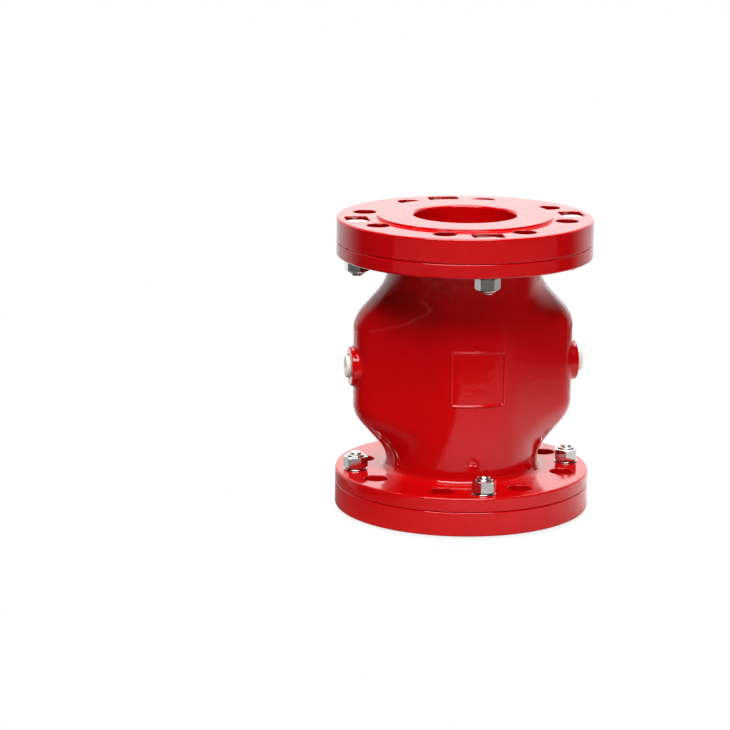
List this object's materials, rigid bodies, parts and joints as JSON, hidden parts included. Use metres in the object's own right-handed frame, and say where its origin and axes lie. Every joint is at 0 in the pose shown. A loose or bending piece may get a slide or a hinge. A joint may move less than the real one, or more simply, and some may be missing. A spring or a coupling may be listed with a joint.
{
  "type": "pinch valve",
  "caption": "Air-operated pinch valve: flanged cast body with side wings, flange covers clamping a rubber sleeve, and plugged air ports on both sides.",
  "frame": {"origin": "middle of the lower pipe flange's raised face, on which the valve stands", "axes": "+Z along the flow axis towards the upper flange, -Y towards the label field, +X and -X towards the two air ports"},
  "size_m": [0.2, 0.2, 0.234],
  "materials": {
    "body_paint": "gloss red paint on grey cast iron",
    "cover_paint": "gloss red paint on turned grey cast iron",
    "sleeve_rubber": "matt black moulded rubber",
    "bright_steel": "bright stainless steel",
    "cap_plastic": "cream moulded plastic"
  },
  "bodies": {
    "housing": {"valve_body": "body_paint", "top_flange_cover": "cover_paint", "bottom_flange_cover": "cover_paint", "sleeve_top_collar": "sleeve_rubber", "sleeve_bottom_collar": "sleeve_rubber", "top_bolt_right": "bright_steel", "top_bolt_back": "bright_steel", "top_bolt_left": "bright_steel", "top_bolt_front": "bright_steel", "bottom_bolt_right": "bright_steel", "bottom_bolt_back": "bright_steel", "bottom_bolt_left": "bright_steel", "bottom_bolt_front": "bright_steel", "top_nut_right": "bright_steel", "top_nut_back": "bright_steel", "top_nut_left": "bright_steel", "top_nut_front": "bright_steel", "top_washer_right": "bright_steel", "top_washer_back": "bright_steel", "top_washer_left": "bright_steel", "top_washer_front": "bright_steel", "bottom_nut_right": "bright_steel", "bottom_nut_back": "bright_steel", "bottom_nut_left": "bright_steel", "bottom_nut_front": "bright_steel", "bottom_washer_right": "bright_steel", "bottom_washer_back": "bright_steel", "bottom_washer_left": "bright_steel", "bottom_washer_front": "bright_steel"},
    "sleeve_front": {"sleeve_front_wall": "sleeve_rubber"},
    "sleeve_rear": {"sleeve_rear_wall": "sleeve_rubber"},
    "right_plug": {"right_port_plug": "cap_plastic"},
    "left_plug": {"left_port_plug": "cap_plastic"}
  },
  "joints": [
    {"name": "sleeve_front_pinch", "type": "slide", "parent": "housing", "child": "sleeve_front", "axis": [0, 1, 0], "range_m": [0, 0.0397], "stiffness_N_per_m": 1500, "deforming": ["sleeve_front_wall"]},
    {"name": "sleeve_rear_pinch", "type": "slide", "parent": "housing", "child": "sleeve_rear", "axis": [0, -1, 0], "range_m": [0, 0.0397], "deforming": ["sleeve_rear_wall"]},
    {"name": "right_plug_pull", "type": "slide", "parent": "housing", "child": "right_plug", "axis": [1, 0, 0], "range_m": [0, 0.025]},
    {"name": "left_plug_pull", "type": "slide", "parent": "housing", "child": "left_plug", "axis": [-1, 0, 0], "range_m": [0, 0.025]}
  ],
  "couplings": [
    {"joint": "sleeve_rear_pinch", "follows": "sleeve_front_pinch", "ratio": 1}
  ]
}
